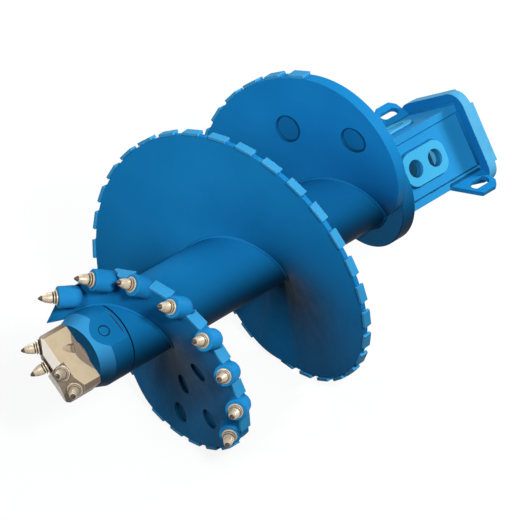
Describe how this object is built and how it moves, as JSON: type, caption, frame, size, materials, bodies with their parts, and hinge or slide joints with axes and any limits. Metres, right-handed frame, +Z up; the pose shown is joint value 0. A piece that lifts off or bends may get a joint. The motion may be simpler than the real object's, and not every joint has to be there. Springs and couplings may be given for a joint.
{
  "type": "rock drilling auger",
  "caption": "Helical drilling auger lying on its side: toothed cutting flight and pilot bit at one end, square Kelly box with pin holes at the other.",
  "frame": {"origin": "bottom centre of the auger lying on the floor", "axes": "+X along the stem from the pilot bit to the Kelly box, +Z up"},
  "size_m": [1.91, 1.0023, 1.0006],
  "materials": {
    "blue_paint": "satin",
    "machined_steel": "machined",
    "pick_steel": "satin",
    "carbide": "ground"
  },
  "bodies": {
    "auger_body": {"stem_tube": "blue_paint", "pilot_socket": "blue_paint", "flight_cutting": "blue_paint", "flight_middle": "blue_paint", "flight_top": "blue_paint", "plates_cutting": "blue_paint", "plates_middle": "blue_paint", "plates_top": "blue_paint", "pick_holders": "blue_paint", "hub_flange": "blue_paint", "box_covers": "blue_paint", "box_sides": "blue_paint", "pin_doublers": "blue_paint", "collar": "blue_paint", "collar_bars": "blue_paint", "lifting_lugs": "blue_paint", "pilot_block": "machined_steel", "socket_pin": "blue_paint"},
    "pick_body_01": {"pick_01": "pick_steel", "tip_01": "carbide"},
    "pick_body_02": {"pick_02": "pick_steel", "tip_02": "carbide"},
    "pick_body_03": {"pick_03": "pick_steel", "tip_03": "carbide"},
    "pick_body_04": {"pick_04": "pick_steel", "tip_04": "carbide"},
    "pick_body_05": {"pick_05": "pick_steel", "tip_05": "carbide"},
    "pick_body_06": {"pick_06": "pick_steel", "tip_06": "carbide"},
    "pick_body_07": {"pick_07": "pick_steel", "tip_07": "carbide"},
    "pick_body_08": {"pick_08": "pick_steel", "tip_08": "carbide"},
    "pick_body_09": {"pick_09": "pick_steel", "tip_09": "carbide"},
    "pick_body_10": {"pick_10": "pick_steel", "tip_10": "carbide"},
    "pick_body_11": {"pick_11": "pick_steel", "tip_11": "carbide"},
    "pick_body_12": {"pick_12": "pick_steel", "tip_12": "carbide"}
  },
  "joints": [
    {"name": "pick_01_spin", "type": "hinge", "parent": "auger_body", "child": "pick_body_01", "pos_m": [-0.90239, -0.03572, 0.50245], "axis": [-0.8312, -0.4276, 0.3553], "continuous": true},
    {"name": "pick_02_spin", "type": "hinge", "parent": "auger_body", "child": "pick_body_02", "pos_m": [-0.8931, -0.07542, 0.45285], "axis": [-0.7489, -0.6484, 0.1373], "continuous": true},
    {"name": "pick_03_spin", "type": "hinge", "parent": "auger_body", "child": "pick_body_03", "pos_m": [-0.90239, 0.03572, 0.49815], "axis": [-0.8312, 0.4276, -0.3553], "continuous": true},
    {"name": "pick_04_spin", "type": "hinge", "parent": "auger_body", "child": "pick_body_04", "pos_m": [-0.8931, 0.07542, 0.54775], "axis": [-0.7489, 0.6484, -0.1373], "continuous": true},
    {"name": "pick_05_spin", "type": "hinge", "parent": "auger_body", "child": "pick_body_05", "pos_m": [-0.77573, 0.10908, 0.66202], "axis": [-0.8457, 0.5183, 0.1272], "continuous": true},
    {"name": "pick_06_spin", "type": "hinge", "parent": "auger_body", "child": "pick_body_06", "pos_m": [-0.71837, -0.00043, 0.74428], "axis": [-0.8577, 0.3629, 0.3642], "continuous": true},
    {"name": "pick_07_spin", "type": "hinge", "parent": "auger_body", "child": "pick_body_07", "pos_m": [-0.65451, -0.11315, 0.74075], "axis": [-0.8395, 0.1472, 0.5231], "continuous": true},
    {"name": "pick_08_spin", "type": "hinge", "parent": "auger_body", "child": "pick_body_08", "pos_m": [-0.61756, -0.24815, 0.69557], "axis": [-0.8818, 0.0052, 0.4716], "continuous": true},
    {"name": "pick_09_spin", "type": "hinge", "parent": "auger_body", "child": "pick_body_09", "pos_m": [-0.58617, -0.35097, 0.59829], "axis": [-0.8793, -0.1851, 0.4387], "continuous": true},
    {"name": "pick_10_spin", "type": "hinge", "parent": "auger_body", "child": "pick_body_10", "pos_m": [-0.55992, -0.40833, 0.47676], "axis": [-0.8395, -0.4304, 0.3316], "continuous": true},
    {"name": "pick_11_spin", "type": "hinge", "parent": "auger_body", "child": "pick_body_11", "pos_m": [-0.53562, -0.42422, 0.33915], "axis": [-0.8363, -0.5168, 0.1829], "continuous": true},
    {"name": "pick_12_spin", "type": "hinge", "parent": "auger_body", "child": "pick_body_12", "pos_m": [-0.50895, -0.35759, 0.20025], "axis": [-0.8032, -0.5934, -0.0534], "continuous": true}
  ]
}
